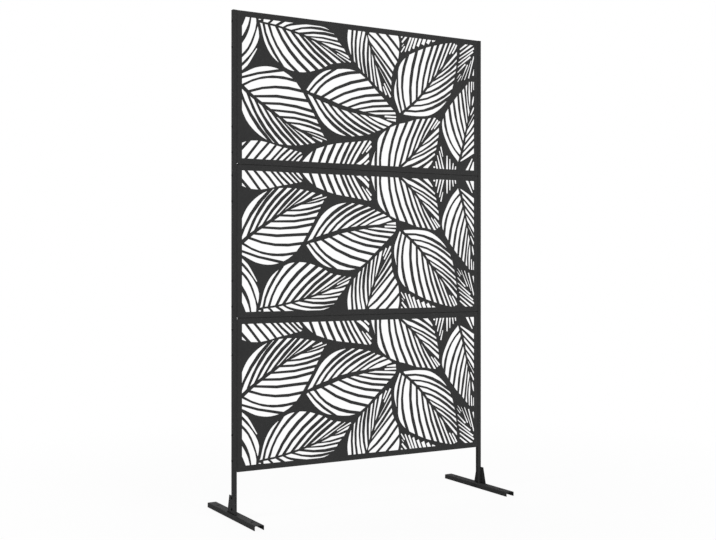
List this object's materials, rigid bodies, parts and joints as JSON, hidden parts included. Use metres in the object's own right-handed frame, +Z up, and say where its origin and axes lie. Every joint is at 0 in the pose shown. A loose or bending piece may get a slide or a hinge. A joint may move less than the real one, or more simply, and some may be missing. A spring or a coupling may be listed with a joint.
{
  "type": "metal privacy screen",
  "caption": "Free-standing metal privacy screen: stacked sheet-steel panels with leaf-shaped cut-outs, bolted between two square posts on flat channel feet.",
  "frame": {"origin": "on the floor, at the centre of the footprint", "axes": "+X across the screen to the right seen from the front, -Y out of the front face, +Z up"},
  "size_m": [1.21, 0.456, 1.978],
  "materials": {
    "panel_steel": "charcoal powder coat, matt, fine texture",
    "frame_steel": "charcoal powder coat, matt, fine texture",
    "fastener_steel": "black finished steel",
    "cap_plastic": "matt black moulded plastic"
  },
  "bodies": {
    "root": {"foot_left": "frame_steel", "foot_right": "frame_steel", "bracket_left": "frame_steel", "bracket_right": "frame_steel", "post_left_lower": "frame_steel", "post_left_middle": "frame_steel", "post_left_upper": "frame_steel", "post_right_lower": "frame_steel", "post_right_middle": "frame_steel", "post_right_upper": "frame_steel", "sleeve_left_lower": "frame_steel", "sleeve_left_upper": "frame_steel", "sleeve_right_lower": "frame_steel", "sleeve_right_upper": "frame_steel", "cap_left": "cap_plastic", "cap_right": "cap_plastic", "panel_bottom": "panel_steel", "panel_middle": "panel_steel", "panel_top": "panel_steel", "bracket_bolts_left": "fastener_steel", "bracket_bolts_right": "fastener_steel", "bracket_nuts_left": "fastener_steel", "bracket_nuts_right": "fastener_steel", "screws_bottom_left": "fastener_steel", "screws_bottom_right": "fastener_steel", "screws_middle_left": "fastener_steel", "screws_middle_right": "fastener_steel", "screws_top_left": "fastener_steel", "screws_top_right": "fastener_steel", "nuts_bottom_left": "fastener_steel", "nuts_bottom_right": "fastener_steel", "nuts_middle_left": "fastener_steel", "nuts_middle_right": "fastener_steel", "nuts_top_left": "fastener_steel", "nuts_top_right": "fastener_steel"}
  },
  "joints": []
}
